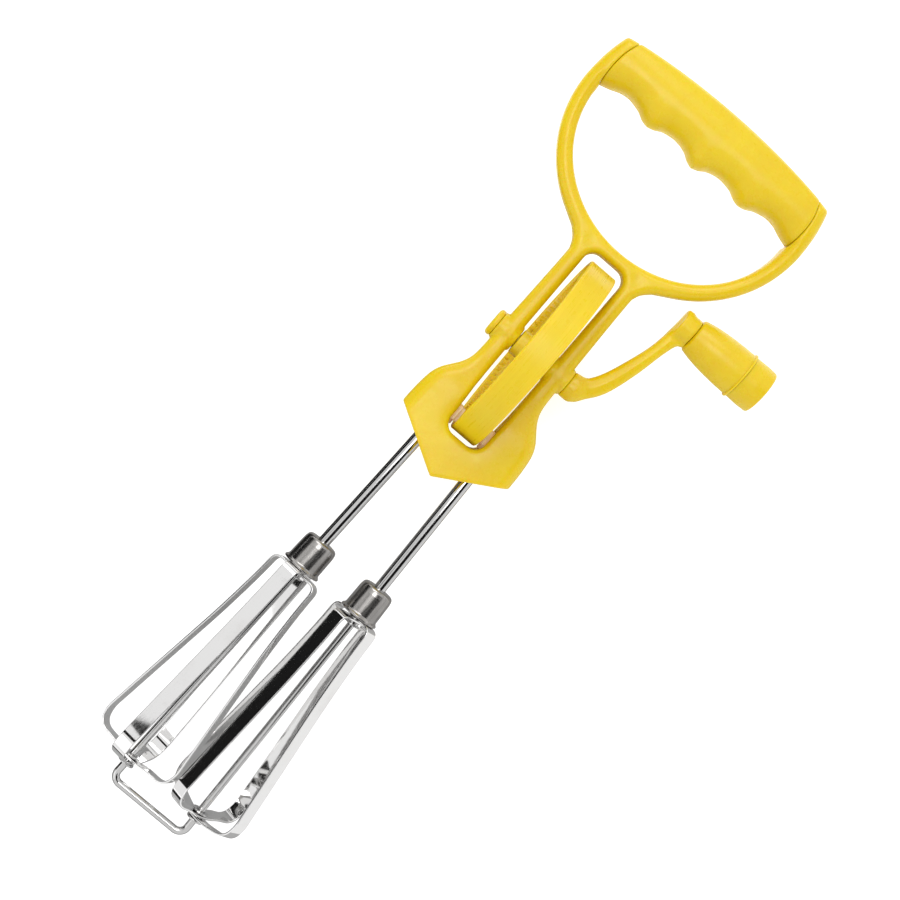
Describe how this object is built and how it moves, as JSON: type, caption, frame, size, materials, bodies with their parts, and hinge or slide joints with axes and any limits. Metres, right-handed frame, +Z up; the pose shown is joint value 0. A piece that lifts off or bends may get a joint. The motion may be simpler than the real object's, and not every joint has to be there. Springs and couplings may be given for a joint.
{
  "type": "egg beater",
  "caption": "Hand-cranked rotary egg beater with a D handle, a face-geared drive wheel, a side crank and two counter-turning wire-guarded steel beaters.",
  "frame": {"origin": "bottom centre of the bounding box, on the surface the tool lies on", "axes": "+Y along the tool from the beaters to the hand grip, +X towards the crank side, +Z up out of the tool's front; the tool lies on its back on the drive wheel's rim and both beaters, so its own front is pitched 6.42 degrees and rolled 3.64 degrees from +Z"},
  "size_m": [0.12, 0.3164, 0.0765],
  "materials": {
    "frame_plastic": "glossy moulded yellow plastic",
    "grip_plastic": "glossy moulded yellow plastic",
    "wheel_plastic": "glossy moulded yellow plastic",
    "crank_plastic": "glossy moulded yellow plastic",
    "knob_plastic": "glossy moulded yellow plastic",
    "pinion_nylon": "natural nylon, slightly translucent",
    "blade_steel": "polished stainless strip",
    "tube_steel": "drawn bright tube",
    "wire_steel": "drawn bright wire",
    "ferrule_steel": "satin drawn steel cup",
    "pin_steel": "plain steel"
  },
  "bodies": {
    "frame": {"frame": "frame_plastic", "grip_front": "grip_plastic", "grip_back": "grip_plastic", "guard_wire": "wire_steel"},
    "drive": {"drive_wheel": "wheel_plastic", "crank_arm": "crank_plastic", "hub_cap": "crank_plastic", "knob_pin": "pin_steel"},
    "knob": {"knob": "knob_plastic", "knob_cap": "knob_plastic"},
    "left_beater": {"left_pinion": "pinion_nylon", "left_tube": "tube_steel", "left_ferrule": "ferrule_steel", "left_blade_a": "blade_steel", "left_blade_b": "blade_steel", "left_eyelet": "tube_steel"},
    "right_beater": {"right_pinion": "pinion_nylon", "right_tube": "tube_steel", "right_ferrule": "ferrule_steel", "right_blade_a": "blade_steel", "right_blade_b": "blade_steel", "right_eyelet": "tube_steel"}
  },
  "joints": [
    {"name": "crank_spin", "type": "hinge", "parent": "frame", "child": "drive", "pos_m": [-0.01143, 0.05012, 0.03823], "axis": [0.998, 0, -0.0635], "continuous": true},
    {"name": "knob_spin", "type": "hinge", "parent": "drive", "child": "knob", "pos_m": [0.03377, 0.09156, 0.04003], "axis": [0.998, 0, -0.0635], "continuous": true},
    {"name": "left_beater_spin", "type": "hinge", "parent": "frame", "child": "left_beater", "pos_m": [-0.02262, 0.01743, 0.03526], "axis": [0.0346, 0.9934, 0.1098], "continuous": true},
    {"name": "right_beater_spin", "type": "hinge", "parent": "frame", "child": "right_beater", "pos_m": [-0.00071, 0.01743, 0.03387], "axis": [-0.0204, 0.9934, 0.1133], "continuous": true}
  ],
  "couplings": [
    {"joint": "left_beater_spin", "follows": "crank_spin", "ratio": 5},
    {"joint": "right_beater_spin", "follows": "crank_spin", "ratio": -5}
  ]
}
